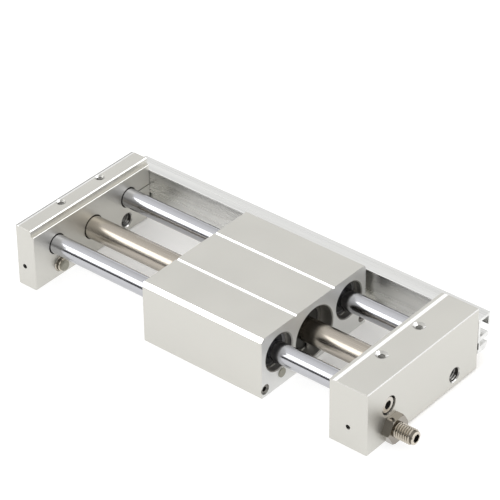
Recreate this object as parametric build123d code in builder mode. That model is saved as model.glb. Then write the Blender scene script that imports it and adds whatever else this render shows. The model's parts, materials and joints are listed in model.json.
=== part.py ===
from build123d import *
import os

os.makedirs("parts", exist_ok=True)

# Rodless cylinder with a magnetically coupled slide block on two guide rods.
# X runs along the stroke, Y from the near side to the sensor rail, Z up.
# All values are millimetres.

# Overall travel and frame
stroke = 100.0
rest_offset = 12.75
block_length = 72.0
block_height = 33.5
plate_height = 34.0
left_plate_thickness = 11.5
right_plate_thickness = 21.5
plate_lift = 0.5
edge_break = 0.4
fine_edge_break = 0.15
left_bevel_width = 1.3
left_bevel_depth = 0.5
left_ledge_width = 1.5
left_ledge_depth = 3.4
right_ledge_width = 1.6
right_ledge_depth = 0.6
right_bevel_width = 2.4

# Guide rods and cylinder tube
rod_diameter = 10.0
rod_spacing = 52.0
rod_edge_distance = 16.0
plate_width = rod_spacing + 2 * rod_edge_distance
block_side_room = 3.0
block_width = plate_width - 2 * block_side_room
rod_height = 19.7
rod_passage = 3.4
rod_chamfer = 0.6
tube_diameter = 12.0
tube_bore = 10.0
tube_height = 15.8
left_seat_depth = 6.0
right_seat_depth = 9.0
near_rod_left_seat = 3.3
seat_clearance = 0.03
seat_chamfer = 0.45

# Cap screws that hold the near rod, and set screws that hold the far rod
cap_screw_diameter = 5.0
cap_head_diameter = 8.5
cap_head_height = 4.6
cap_socket = 4.0
cap_socket_depth = 2.6
counterbore_diameter = 9.8
counterbore_depth = 5.2
cap_screw_grip = 9.0
set_screw_diameter = 3.0
set_screw_length = 6.0
set_screw_socket = 1.5
clamp_slit = 0.5
clamp_slit_depth = 3.5
clamp_inset = 2.7
clamp_edge_distance = 5.4
clamp_screw_diameter = 2.5
clamp_screw_length = 25.0
clamp_head_diameter = 4.5
clamp_head_height = 2.5
clamp_socket = 2.0
clamp_clearance = 0.15
clamp_counterbore_depth = 2.9
plug_diameter = 4.0
plug_length = 4.5
plug_socket = 2.0
socket_depth = 1.8

# Air ways
port_diameter = 4.2
chamber_depth = 4.0
rod_chamber_diameter = 5.0
tube_chamber_diameter = 8.0
crossway_diameter = 3.0
crossway_depth = 1.8
crossway_height = 17.7

# Stroke adjustment
bolt_diameter = 8.0
bolt_edge_distance = 17.8
bolt_spacing = plate_width - 2 * bolt_edge_distance
bolt_height = 6.9
bolt_stand_out = 14.3
bolt_socket = 4.0
bolt_socket_depth = 5.0
bolt_chamfer = 1.0
running_clearance = 0.05
spare_thread_core = 7.0
spare_countersink = 0.6
nut_across_flats = 13.0
nut_thickness = 4.5
nut_chamfer = 0.6
stop_tip_diameter = 5.6
stop_tip_proud = 1.5
stop_tip_length = 5.0
stop_reach = 3.45
stop_gap = 0.3
block_bumper_diameter = 4.8
block_bumper_length = 4.0
block_bumper_proud = 0.5

# Mounting holes
plate_hole_spacing = 28.0
left_hole_inset = 7.6
right_hole_inset = 7.9
plate_hole_diameter = 3.3
left_countersink = 5.0
right_countersink = 6.2
countersink_depth = 0.9
side_hole_diameter = 2.5
side_hole_depth = 7.0
side_hole_height = 12.0
left_side_hole_inset = 4.8
right_side_hole_inset = 10.6
load_hole_diameter = 3.3
load_hole_depth = 6.5
load_hole_spacing_x = 40.0
load_hole_spacing_y = 50.0

# Sensor rail, an E-shaped extrusion along the far side
rail_left_inset = 1.0
rail_width = 9.2
rail_lower_width = 7.5
rail_middle_width = 7.9
rail_base_height = 8.4
rail_lower_fin = 3.6
rail_lower_slot = 2.9
rail_middle_fin = 2.5
rail_upper_slot = 8.8
rail_top_wall = 1.5
rail_web = 1.6
rail_lip = 1.4
rail_lip_drop = 4.9
rail_groove_depth = 0.7
rail_groove_base = 2.3
rail_groove_height = 3.8
rail_corner = 0.5
rail_round_share = 0.85
rail_screw_diameter = 3.0
rail_screw_length = 6.0
rail_screw_head = 5.4
rail_screw_head_height = 1.4
rail_screw_rise = 5.6
rail_screw_left_inset = 4.6
rail_screw_right_inset = 7.0

# Ball bushings in the block
bushing_inset = 4.5
bushing_gap = 5.0
bushing_length = (block_length - 2 * bushing_inset - bushing_gap) / 2
bushing_wall = 4.5
bushing_sleeve_wall = 1.7
bushing_seal_length = 1.6
cage_gap = 0.45
circlip_thickness = 1.0
circlip_groove = 0.7
circlip_height = 1.5

# Magnet coupling: rings outside the tube and discs inside it
magnet_length = 6.0
magnet_count = 4
yoke_length = 4.0
outer_magnet_diameter = 23.0
outer_magnet_gap = 0.5
magnet_sleeve_wall = 2.0
wear_ring_length = 3.0
wiper_length = 2.0
spacer_length = 1.0
inner_magnet_gap = 0.4
piston_shaft_diameter = 3.0
piston_length = 11.0
piston_seal_length = 1.8
piston_seal_depth = 1.4
piston_wear_length = 2.2
piston_wear_depth = 0.7
piston_groove_inset = 2.0
piston_nut_flats = 5.5
piston_nut_length = 2.4
piston_bumper_length = 3.4
piston_bumper_bore = 6.8
piston_bumper_diameter = 9.0

# Seals
tube_ring_section = 1.2
rod_ring_section = 1.4
ring_inset = 1.3
rod_ring_inset = 0.8
ring_room = 0.2
end_cushion_length = 3.0
end_cushion_bore = 5.0

# Block details
block_top_chamfer = 1.8
block_edge_break = 0.4
block_line_spacing = 28.0
block_line_width = 1.5
block_line_depth = 0.5
block_bore_chamfer = 0.4
magnet_hole_diameter = 5.4
magnet_hole_edge = 2.8
magnet_hole_spacing = block_width - 2 * magnet_hole_edge
magnet_hole_height = 4.1
switch_magnet_length = 10.0
magnet_plug_length = 4.0
magnet_plug_inset = 0.6
magnet_plug_socket = 2.5

# Derived places. The origin is the middle of the whole part, at the height of the load face.
stop_room = stop_reach + stop_gap + block_bumper_proud
inner_length = stroke + 2 * stop_room + block_length
overall_length = inner_length + left_plate_thickness + right_plate_thickness
left_outer = -overall_length / 2
left_inner = left_outer + left_plate_thickness
right_outer = overall_length / 2
right_inner = right_outer - right_plate_thickness
axis_y = -rail_width / 2
near_face = axis_y - plate_width / 2
far_face = axis_y + plate_width / 2
plate_bottom = plate_lift
plate_top = plate_lift + plate_height
plate_middle = plate_lift + plate_height / 2
near_rod_y = axis_y - rod_spacing / 2
far_rod_y = axis_y + rod_spacing / 2
near_bolt_y = axis_y - bolt_spacing / 2
far_bolt_y = axis_y + bolt_spacing / 2
block_middle = (left_inner + right_inner) / 2 + rest_offset
block_left = block_middle - block_length / 2
block_right = block_middle + block_length / 2
rod_radius = rod_diameter / 2
tube_radius = tube_diameter / 2
rod_seat_radius = rod_radius + seat_clearance
tube_seat_radius = tube_radius + seat_clearance


def disc_along_x(radius, start, end, y, z, mode=Mode.SUBTRACT):
    """A round bar or hole between two X positions."""
    with Locations(((start + end) / 2, y, z)):
        Cylinder(radius, end - start, rotation=(0, 90, 0), mode=mode)


def disc_along_y(radius, start, end, x, z, mode=Mode.SUBTRACT):
    """A round bar or hole between two Y positions."""
    with Locations((x, (start + end) / 2, z)):
        Cylinder(radius, end - start, rotation=(90, 0, 0), mode=mode)


def disc_along_z(radius, start, end, x, y, mode=Mode.SUBTRACT):
    """A round bar or hole between two Z positions."""
    with Locations((x, y, (start + end) / 2)):
        Cylinder(radius, end - start, mode=mode)


def mouth_along_x(radius, width, mouth, inward, y, z):
    """A countersunk mouth in a face across X; inward is 1 towards +X and -1 towards -X."""
    with Locations((mouth + inward * width / 2, y, z)):
        Cone(radius + width, radius, width, rotation=(0, 90 * inward, 0), mode=Mode.SUBTRACT)


def hex_socket_along_x(flats, mouth, depth, inward, y, z):
    """A hexagon socket in a screw head; inward is 1 towards +X and -1 towards -X."""
    with BuildSketch(Plane.YZ.offset(mouth)) as socket:
        with Locations((y, z)):
            RegularPolygon(flats / 2, 6, major_radius=False)
    extrude(socket.sketch, amount=inward * depth, mode=Mode.SUBTRACT)


# End plates
ring_groove_radius = tube_radius + tube_ring_section + ring_room / 2
tube_ring_width = tube_ring_section + ring_room
rod_ring_width = rod_ring_section + ring_room

with BuildPart() as end_plate_left:
    with BuildSketch(Plane.XZ.offset(-near_face)):
        with BuildLine():
            Polyline(
                (left_outer, plate_bottom),
                (left_inner, plate_bottom),
                (left_inner, plate_top - left_ledge_depth),
                (left_inner - left_ledge_width, plate_top - left_ledge_depth),
                (left_inner - left_ledge_width, plate_top),
                (left_outer + left_bevel_width, plate_top),
                (left_outer, plate_top - left_bevel_depth),
                close=True,
            )
        make_face()
    extrude(amount=-plate_width)
    left_uprights = end_plate_left.edges().filter_by(Axis.Z).filter_by(lambda e: e.length > plate_height / 2)
    left_step_top = end_plate_left.edges().filter_by(Axis.Y).filter_by(
        lambda e: abs(e.center().X - left_inner + left_ledge_width) < edge_break and e.center().Z > plate_top - edge_break
    )
    chamfer(left_uprights + left_step_top, edge_break)
    left_long = end_plate_left.edges().filter_by(Axis.X).group_by(Axis.Z)
    left_cross = end_plate_left.edges().filter_by(Axis.Y)
    left_step_foot = left_cross.filter_by(lambda e: e.center().X > left_inner - edge_break / 2 and e.center().Z > plate_middle)
    chamfer(left_long[0] + left_long[-1] + left_cross.group_by(Axis.Z)[0] + left_step_foot, fine_edge_break)
    # Seats of the two rods and the tube, with a small chamfer at each mouth
    disc_along_x(rod_seat_radius, left_inner - near_rod_left_seat, left_inner, near_rod_y, rod_height)
    disc_along_x(rod_seat_radius, left_inner - left_seat_depth, left_inner, far_rod_y, rod_height)
    disc_along_x(tube_seat_radius, left_inner - left_seat_depth, left_inner, axis_y, tube_height)
    mouth_along_x(rod_seat_radius, seat_chamfer, left_inner, -1, near_rod_y, rod_height)
    mouth_along_x(rod_seat_radius, seat_chamfer, left_inner, -1, far_rod_y, rod_height)
    mouth_along_x(tube_seat_radius, seat_chamfer, left_inner, -1, axis_y, tube_height)
    left_groove = left_inner - left_seat_depth + ring_inset
    disc_along_x(ring_groove_radius, left_groove, left_groove + tube_ring_width, axis_y, tube_height)
    # Air ports in the outer face, one for the tube and one for the hollow far rod
    disc_along_x(port_diameter / 2, left_outer, left_inner - left_seat_depth, axis_y, tube_height)
    disc_along_x(port_diameter / 2, left_outer, left_inner - left_seat_depth, far_rod_y, rod_height)
    # Counterbored hole of the near rod's screw
    disc_along_x(counterbore_diameter / 2, left_outer, left_outer + counterbore_depth, near_rod_y, rod_height)
    disc_along_x(cap_screw_diameter / 2 + seat_clearance, left_outer, left_inner, near_rod_y, rod_height)
    # Adjust bolt thread and the spare thread beside it
    disc_along_x(bolt_diameter / 2 + running_clearance, left_outer, left_inner, near_bolt_y, bolt_height)
    disc_along_x(spare_thread_core / 2, left_outer, left_inner, far_bolt_y, bolt_height)
    mouth_along_x(spare_thread_core / 2, spare_countersink, left_inner, -1, far_bolt_y, bolt_height)
    mouth_along_x(spare_thread_core / 2, spare_countersink, left_outer, 1, far_bolt_y, bolt_height)
    # Slit at the far rod's height and the screw that closes it on the rod
    clamp_x = left_inner - clamp_inset
    clamp_y = far_face - clamp_edge_distance
    clamp_hole_radius = clamp_screw_diameter / 2
    clamp_head_base = plate_bottom + clamp_counterbore_depth
    with Locations((left_inner - clamp_slit_depth / 2, (far_rod_y + far_face) / 2, rod_height)):
        Box(clamp_slit_depth, far_face - far_rod_y, clamp_slit, mode=Mode.SUBTRACT)
    disc_along_z(clamp_head_diameter / 2 + clamp_clearance, plate_bottom, clamp_head_base, clamp_x, clamp_y)
    disc_along_z(clamp_hole_radius + clamp_clearance, plate_bottom, rod_height, clamp_x, clamp_y)
    disc_along_z(clamp_hole_radius, rod_height, clamp_head_base + clamp_screw_length, clamp_x, clamp_y)
    # Rail screw and accessory hole in the side faces
    left_rail_screw_x = left_outer + rail_screw_left_inset
    rail_screw_height = rail_base_height + rail_lower_fin + rail_lower_slot + rail_middle_fin + rail_screw_rise
    disc_along_y(side_hole_diameter / 2, far_face - side_hole_depth, far_face, left_rail_screw_x, rail_screw_height)
    left_side_hole_x = left_outer + left_side_hole_inset
    disc_along_y(side_hole_diameter / 2, near_face, near_face + side_hole_depth, left_side_hole_x, side_hole_height)
    # Countersunk threaded holes through the height of the plate
    left_hole_x = left_inner - left_hole_inset
    for hole_y in (axis_y - plate_hole_spacing / 2, axis_y + plate_hole_spacing / 2):
        disc_along_z(plate_hole_diameter / 2, plate_bottom, plate_top, left_hole_x, hole_y)
        with Locations((left_hole_x, hole_y, plate_top - countersink_depth / 2)):
            Cone(plate_hole_diameter / 2, left_countersink / 2, countersink_depth, mode=Mode.SUBTRACT)
end_plate_left.part.label = "end_plate_left"
export_step(end_plate_left.part, "parts/end_plate_left.step")

with BuildPart() as end_plate_right:
    with BuildSketch(Plane.XZ.offset(-near_face)):
        with BuildLine():
            Polyline(
                (right_outer, plate_bottom),
                (right_inner, plate_bottom),
                (right_inner, plate_top - right_ledge_depth),
                (right_inner + right_ledge_width, plate_top - right_ledge_depth),
                (right_inner + right_ledge_width + right_bevel_width, plate_top),
                (right_outer, plate_top),
                close=True,
            )
        make_face()
    extrude(amount=-plate_width)
    right_uprights = end_plate_right.edges().filter_by(Axis.Z).filter_by(lambda e: e.length > plate_height / 2)
    right_top_outer = end_plate_right.edges().filter_by(Axis.Y).filter_by(
        lambda e: e.center().X > right_outer - edge_break and e.center().Z > plate_top - edge_break
    )
    chamfer(right_uprights + right_top_outer, edge_break)
    right_long = end_plate_right.edges().filter_by(Axis.X).group_by(Axis.Z)
    right_cross = end_plate_right.edges().filter_by(Axis.Y)
    chamfer(right_long[0] + right_long[-1] + right_cross.group_by(Axis.Z)[0], fine_edge_break)
    # Seats of the two rods and the tube
    disc_along_x(rod_seat_radius, right_inner, right_inner + right_seat_depth, near_rod_y, rod_height)
    disc_along_x(rod_seat_radius, right_inner, right_inner + right_seat_depth, far_rod_y, rod_height)
    disc_along_x(tube_seat_radius, right_inner, right_inner + right_seat_depth, axis_y, tube_height)
    mouth_along_x(rod_seat_radius, seat_chamfer, right_inner, 1, near_rod_y, rod_height)
    mouth_along_x(rod_seat_radius, seat_chamfer, right_inner, 1, far_rod_y, rod_height)
    mouth_along_x(tube_seat_radius, seat_chamfer, right_inner, 1, axis_y, tube_height)
    right_groove = right_inner + right_seat_depth - ring_inset
    disc_along_x(ring_groove_radius, right_groove - tube_ring_width, right_groove, axis_y, tube_height)
    # Air chambers behind the far rod and the tube, joined by a drilled way that a plug closes
    chamber_end = right_inner + right_seat_depth + chamber_depth
    crossway_x = right_inner + right_seat_depth + crossway_depth
    disc_along_x(rod_chamber_diameter / 2, right_inner, chamber_end, far_rod_y, rod_height)
    disc_along_x(tube_chamber_diameter / 2, right_inner, chamber_end, axis_y, tube_height)
    disc_along_y(crossway_diameter / 2, axis_y, far_face, crossway_x, crossway_height)
    disc_along_y(plug_diameter / 2, far_face - plug_length - socket_depth, far_face, crossway_x, crossway_height)
    # Counterbored hole of the near rod's screw
    disc_along_x(counterbore_diameter / 2, right_outer - counterbore_depth, right_outer, near_rod_y, rod_height)
    disc_along_x(cap_screw_diameter / 2 + seat_clearance, right_inner, right_outer, near_rod_y, rod_height)
    # Adjust bolt thread and the spare thread beside it
    disc_along_x(bolt_diameter / 2 + running_clearance, right_inner, right_outer, near_bolt_y, bolt_height)
    disc_along_x(spare_thread_core / 2, right_inner, right_outer, far_bolt_y, bolt_height)
    mouth_along_x(spare_thread_core / 2, spare_countersink, right_inner, 1, far_bolt_y, bolt_height)
    mouth_along_x(spare_thread_core / 2, spare_countersink, right_outer, -1, far_bolt_y, bolt_height)
    # Set screw of the far rod, rail screw and accessory hole in the side faces
    right_set_screw_x = right_inner + set_screw_diameter
    right_rail_screw_x = right_outer - rail_screw_right_inset
    disc_along_y(set_screw_diameter / 2, far_rod_y, far_face, right_set_screw_x, rod_height)
    disc_along_y(side_hole_diameter / 2, far_face - side_hole_depth, far_face, right_rail_screw_x, rail_screw_height)
    right_side_hole_x = right_outer - right_side_hole_inset
    disc_along_y(side_hole_diameter / 2, near_face, near_face + side_hole_depth, right_side_hole_x, side_hole_height)
    # Countersunk threaded holes through the height of the plate
    right_hole_x = right_inner + right_hole_inset
    for hole_y in (axis_y - plate_hole_spacing / 2, axis_y + plate_hole_spacing / 2):
        disc_along_z(plate_hole_diameter / 2, plate_bottom, plate_top, right_hole_x, hole_y)
        with Locations((right_hole_x, hole_y, plate_top - countersink_depth / 2)):
            Cone(plate_hole_diameter / 2, right_countersink / 2, countersink_depth, mode=Mode.SUBTRACT)
end_plate_right.part.label = "end_plate_right"
export_step(end_plate_right.part, "parts/end_plate_right.step")

# Cylinder tube and guide rods
with BuildPart() as cylinder_tube:
    tube_left = left_inner - left_seat_depth
    tube_right = right_inner + right_seat_depth
    with BuildSketch(Plane.YZ.offset(tube_left)):
        with Locations((axis_y, tube_height)):
            Circle(tube_radius)
            Circle(tube_bore / 2, mode=Mode.SUBTRACT)
    extrude(amount=tube_right - tube_left)
cylinder_tube.part.label = "cylinder_tube"
export_step(cylinder_tube.part, "parts/cylinder_tube.step")

with BuildPart() as guide_rod_near:
    near_rod_left = left_inner - near_rod_left_seat
    near_rod_right = right_inner + right_seat_depth
    with BuildSketch(Plane.YZ.offset(near_rod_left)):
        with Locations((near_rod_y, rod_height)):
            Circle(rod_radius)
    extrude(amount=near_rod_right - near_rod_left)
    chamfer(guide_rod_near.edges().filter_by(GeomType.CIRCLE), rod_chamfer)
    # Threaded ends for the cap screws
    for start, end in ((near_rod_left, near_rod_left + cap_screw_grip), (near_rod_right - cap_screw_grip, near_rod_right)):
        disc_along_x(cap_screw_diameter / 2 + seat_clearance, start, end, near_rod_y, rod_height)
guide_rod_near.part.label = "guide_rod_near"
export_step(guide_rod_near.part, "parts/guide_rod_near.step")

with BuildPart() as guide_rod_far:
    far_rod_left = left_inner - left_seat_depth
    far_rod_right = right_inner + right_seat_depth
    with BuildSketch(Plane.YZ.offset(far_rod_left)):
        with Locations((far_rod_y, rod_height)):
            Circle(rod_radius)
    extrude(amount=far_rod_right - far_rod_left)
    chamfer(guide_rod_far.edges().filter_by(GeomType.CIRCLE), rod_chamfer)
    disc_along_x(rod_passage / 2, far_rod_left, far_rod_right, far_rod_y, rod_height)
    # Seal ring grooves near both ends
    for start in (far_rod_left + rod_ring_inset, far_rod_right - rod_ring_inset - rod_ring_width):
        with BuildSketch(Plane.YZ.offset(start)):
            with Locations((far_rod_y, rod_height)):
                Circle(rod_radius)
                Circle(rod_radius - rod_ring_section, mode=Mode.SUBTRACT)
        extrude(amount=rod_ring_width, mode=Mode.SUBTRACT)
guide_rod_far.part.label = "guide_rod_far"
export_step(guide_rod_far.part, "parts/guide_rod_far.step")

with BuildPart() as tube_seal_rings:
    for start in (left_groove, right_groove - tube_ring_width):
        middle = start + tube_ring_width / 2
        with Locations(Location((middle, axis_y, tube_height), (0, 90, 0))):
            Torus(tube_radius + tube_ring_section / 2 + ring_room / 4, tube_ring_section / 2)
tube_seal_rings.part.label = "tube_seal_rings"
export_step(tube_seal_rings.part, "parts/tube_seal_rings.step")

with BuildPart() as rod_seal_rings:
    for start in (far_rod_left + rod_ring_inset, far_rod_right - rod_ring_inset - rod_ring_width):
        middle = start + rod_ring_width / 2
        with Locations(Location((middle, far_rod_y, rod_height), (0, 90, 0))):
            Torus(rod_radius - rod_ring_section / 2 + seat_clearance / 2, rod_ring_section / 2 - seat_clearance / 2)
rod_seal_rings.part.label = "rod_seal_rings"
export_step(rod_seal_rings.part, "parts/rod_seal_rings.step")

with BuildPart() as tube_end_cushions:
    for start in (tube_left, tube_right - end_cushion_length):
        with BuildSketch(Plane.YZ.offset(start)):
            with Locations((axis_y, tube_height)):
                Circle(tube_bore / 2 - seat_clearance)
                Circle(end_cushion_bore / 2, mode=Mode.SUBTRACT)
        extrude(amount=end_cushion_length)
tube_end_cushions.part.label = "tube_end_cushions"
export_step(tube_end_cushions.part, "parts/tube_end_cushions.step")

# Fasteners of the frame
with BuildPart() as rod_screw_left:
    head_base = left_outer + counterbore_depth
    disc_along_x(cap_head_diameter / 2, head_base - cap_head_height, head_base, near_rod_y, rod_height, Mode.ADD)
    chamfer(rod_screw_left.edges().group_by(Axis.X)[0], edge_break)
    disc_along_x(
        cap_screw_diameter / 2, head_base, near_rod_left + cap_screw_grip - edge_break, near_rod_y, rod_height, Mode.ADD
    )
    hex_socket_along_x(cap_socket, head_base - cap_head_height, cap_socket_depth, 1, near_rod_y, rod_height)
rod_screw_left.part.label = "rod_screw_left"
export_step(rod_screw_left.part, "parts/rod_screw_left.step")

with BuildPart() as rod_screw_right:
    head_base = right_outer - counterbore_depth
    disc_along_x(cap_head_diameter / 2, head_base, head_base + cap_head_height, near_rod_y, rod_height, Mode.ADD)
    chamfer(rod_screw_right.edges().group_by(Axis.X)[-1], edge_break)
    disc_along_x(
        cap_screw_diameter / 2, near_rod_right - cap_screw_grip + edge_break, head_base, near_rod_y, rod_height, Mode.ADD
    )
    hex_socket_along_x(cap_socket, head_base + cap_head_height, cap_socket_depth, -1, near_rod_y, rod_height)
rod_screw_right.part.label = "rod_screw_right"
export_step(rod_screw_right.part, "parts/rod_screw_right.step")

with BuildPart() as far_rod_set_screw:
    tip = far_rod_y + rod_radius
    disc_along_y(set_screw_diameter / 2, tip, tip + set_screw_length, right_set_screw_x, rod_height, Mode.ADD)
    with BuildSketch(Plane.XZ.offset(-tip - set_screw_length)) as socket:
        with Locations((right_set_screw_x, rod_height)):
            RegularPolygon(set_screw_socket / 2, 6, major_radius=False)
    extrude(amount=socket_depth, mode=Mode.SUBTRACT)
far_rod_set_screw.part.label = "far_rod_set_screw"
export_step(far_rod_set_screw.part, "parts/far_rod_set_screw.step")

with BuildPart() as far_rod_clamp_screw:
    clamp_head_bottom = clamp_head_base - clamp_head_height
    disc_along_z(clamp_head_diameter / 2, clamp_head_bottom, clamp_head_base, clamp_x, clamp_y, Mode.ADD)
    clamp_tip = clamp_head_base + clamp_screw_length - edge_break
    disc_along_z(clamp_hole_radius, clamp_head_base, clamp_tip, clamp_x, clamp_y, Mode.ADD)
    with BuildSketch(Plane.XY.offset(clamp_head_bottom)) as socket:
        with Locations((clamp_x, clamp_y)):
            RegularPolygon(clamp_socket / 2, 6, major_radius=False)
    extrude(socket.sketch, amount=clamp_head_height / 2, mode=Mode.SUBTRACT)
far_rod_clamp_screw.part.label = "far_rod_clamp_screw"
export_step(far_rod_clamp_screw.part, "parts/far_rod_clamp_screw.step")

with BuildPart() as crossway_plug:
    plug_outer = far_face - socket_depth
    disc_along_y(plug_diameter / 2, plug_outer - plug_length, plug_outer, crossway_x, crossway_height, Mode.ADD)
    with BuildSketch(Plane.XZ.offset(-plug_outer)) as socket:
        with Locations((crossway_x, crossway_height)):
            RegularPolygon(plug_socket / 2, 6, major_radius=False)
    extrude(amount=socket_depth, mode=Mode.SUBTRACT)
crossway_plug.part.label = "crossway_plug"
export_step(crossway_plug.part, "parts/crossway_plug.step")

# Sensor rail and its screws
rail_left = left_outer + rail_left_inset
rail_right = right_outer
rail_slot_base = rail_base_height + rail_lower_fin
rail_fin_base = rail_slot_base + rail_lower_slot
rail_fin_top = rail_fin_base + rail_middle_fin
rail_slot_top = rail_fin_top + rail_upper_slot
rail_top = rail_slot_top + rail_top_wall
rail_groove_bottom = rail_base_height + rail_groove_base
rail_groove_top = rail_groove_bottom + rail_groove_height

with BuildPart() as sensor_rail:
    with BuildSketch(Plane.YZ.offset(rail_left)) as rail_section:
        with BuildLine():
            Polyline(
                (far_face, rail_base_height),
                (far_face + rail_lower_width, rail_base_height),
                (far_face + rail_lower_width, rail_slot_base),
                (far_face + rail_web, rail_slot_base),
                (far_face + rail_web, rail_fin_base),
                (far_face + rail_middle_width, rail_fin_base),
                (far_face + rail_middle_width, rail_fin_top),
                (far_face + rail_web, rail_fin_top),
                (far_face + rail_web, rail_slot_top),
                (far_face + rail_width - rail_lip, rail_slot_top),
                (far_face + rail_width - rail_lip, rail_slot_top - rail_lip_drop),
                (far_face + rail_width, rail_slot_top - rail_lip_drop),
                (far_face + rail_width, rail_top),
                (far_face, rail_top),
                (far_face, rail_groove_top),
                (far_face + rail_groove_depth, rail_groove_top),
                (far_face + rail_groove_depth, rail_groove_bottom),
                (far_face, rail_groove_bottom),
                close=True,
            )
        make_face()
        lower_corner = rail_section.vertices().group_by(Axis.Y)[0].sort_by(Axis.X)[-1]
        fillet(lower_corner, rail_lower_fin * rail_round_share)
        fillet(rail_section.vertices().filter_by(lambda v: abs(v.X - far_face - rail_web) < rail_groove_depth), rail_corner)
    extrude(amount=rail_right - rail_left)
    for screw_x in (left_rail_screw_x, right_rail_screw_x):
        disc_along_y(rail_screw_diameter / 2, far_face, far_face + rail_web, screw_x, rail_screw_height)
        with Locations((screw_x, far_face + rail_web - rail_screw_head_height / 2, rail_screw_height)):
            Cone(
                rail_screw_diameter / 2 - seat_clearance,
                rail_screw_head / 2 + seat_clearance,
                rail_screw_head_height,
                rotation=(-90, 0, 0),
                mode=Mode.SUBTRACT,
            )
sensor_rail.part.label = "sensor_rail"
export_step(sensor_rail.part, "parts/sensor_rail.step")

with BuildPart() as rail_screws:
    for screw_x in (left_rail_screw_x, right_rail_screw_x):
        head_top = far_face + rail_web - seat_clearance
        disc_along_y(
            side_hole_diameter / 2, head_top - rail_screw_length, head_top - rail_screw_head_height,
            screw_x, rail_screw_height, Mode.ADD,
        )
        with Locations((screw_x, head_top - rail_screw_head_height / 2, rail_screw_height)):
            Cone(
                side_hole_diameter / 2,
                rail_screw_head / 2 - seat_clearance,
                rail_screw_head_height,
                rotation=(-90, 0, 0),
            )
        with BuildSketch(Plane.XZ.offset(-head_top)) as socket:
            with Locations((screw_x, rail_screw_height)):
                RegularPolygon(plug_socket / 2, 6, major_radius=False)
        extrude(amount=rail_screw_head_height, mode=Mode.SUBTRACT)
rail_screws.part.label = "rail_screws"
export_step(rail_screws.part, "parts/rail_screws.step")

# Stroke adjust bolts, each with a soft stop tip and a lock nut
with BuildPart() as adjust_bolt_left:
    bolt_inner = left_inner + stop_reach - stop_tip_proud
    bolt_outer = left_outer - bolt_stand_out
    disc_along_x(bolt_diameter / 2, bolt_outer, bolt_inner, near_bolt_y, bolt_height, Mode.ADD)
    chamfer(adjust_bolt_left.edges().filter_by(GeomType.CIRCLE), bolt_chamfer)
    hex_socket_along_x(bolt_socket, bolt_outer, bolt_socket_depth, 1, near_bolt_y, bolt_height)
    tip_seat = bolt_inner - stop_tip_length + stop_tip_proud
    disc_along_x(stop_tip_diameter / 2, tip_seat, bolt_inner, near_bolt_y, bolt_height)
adjust_bolt_left.part.label = "adjust_bolt_left"
export_step(adjust_bolt_left.part, "parts/adjust_bolt_left.step")

with BuildPart() as stop_tip_left:
    disc_along_x(
        stop_tip_diameter / 2 - seat_clearance, tip_seat, tip_seat + stop_tip_length, near_bolt_y, bolt_height, Mode.ADD
    )
    chamfer(stop_tip_left.edges().group_by(Axis.X)[-1], edge_break)
stop_tip_left.part.label = "stop_tip_left"
export_step(stop_tip_left.part, "parts/stop_tip_left.step")

with BuildPart() as adjust_bolt_right:
    bolt_inner = right_inner - stop_reach + stop_tip_proud
    bolt_outer = right_outer + bolt_stand_out
    disc_along_x(bolt_diameter / 2, bolt_inner, bolt_outer, near_bolt_y, bolt_height, Mode.ADD)
    chamfer(adjust_bolt_right.edges().filter_by(GeomType.CIRCLE), bolt_chamfer)
    hex_socket_along_x(bolt_socket, bolt_outer, bolt_socket_depth, -1, near_bolt_y, bolt_height)
    tip_seat = bolt_inner + stop_tip_length - stop_tip_proud
    disc_along_x(stop_tip_diameter / 2, bolt_inner, tip_seat, near_bolt_y, bolt_height)
adjust_bolt_right.part.label = "adjust_bolt_right"
export_step(adjust_bolt_right.part, "parts/adjust_bolt_right.step")

with BuildPart() as stop_tip_right:
    disc_along_x(
        stop_tip_diameter / 2 - seat_clearance, tip_seat - stop_tip_length, tip_seat, near_bolt_y, bolt_height, Mode.ADD
    )
    chamfer(stop_tip_right.edges().group_by(Axis.X)[0], edge_break)
stop_tip_right.part.label = "stop_tip_right"
export_step(stop_tip_right.part, "parts/stop_tip_right.step")

with BuildPart() as lock_nut_left:
    with BuildSketch(Plane.YZ.offset(left_outer - nut_thickness)):
        with Locations((near_bolt_y, bolt_height)):
            RegularPolygon(nut_across_flats / 2, 6, major_radius=False)
    extrude(amount=nut_thickness)
    # The corners are turned off to a cone at both faces
    with BuildPart(mode=Mode.INTERSECT):
        with Locations((left_outer - nut_thickness / 2, near_bolt_y, bolt_height)):
            Cylinder(nut_across_flats / 3 ** 0.5, nut_thickness, rotation=(0, 90, 0))
        chamfer(edges().filter_by(GeomType.CIRCLE), nut_chamfer)
    disc_along_x(
        bolt_diameter / 2 + running_clearance, left_outer - nut_thickness, left_outer, near_bolt_y, bolt_height
    )
lock_nut_left.part.label = "lock_nut_left"
export_step(lock_nut_left.part, "parts/lock_nut_left.step")

with BuildPart() as lock_nut_right:
    with BuildSketch(Plane.YZ.offset(right_outer)):
        with Locations((near_bolt_y, bolt_height)):
            RegularPolygon(nut_across_flats / 2, 6, major_radius=False)
    extrude(amount=nut_thickness)
    with BuildPart(mode=Mode.INTERSECT):
        with Locations((right_outer + nut_thickness / 2, near_bolt_y, bolt_height)):
            Cylinder(nut_across_flats / 3 ** 0.5, nut_thickness, rotation=(0, 90, 0))
        chamfer(edges().filter_by(GeomType.CIRCLE), nut_chamfer)
    disc_along_x(
        bolt_diameter / 2 + running_clearance, right_outer, right_outer + nut_thickness, near_bolt_y, bolt_height
    )
lock_nut_right.part.label = "lock_nut_right"
export_step(lock_nut_right.part, "parts/lock_nut_right.step")

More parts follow.
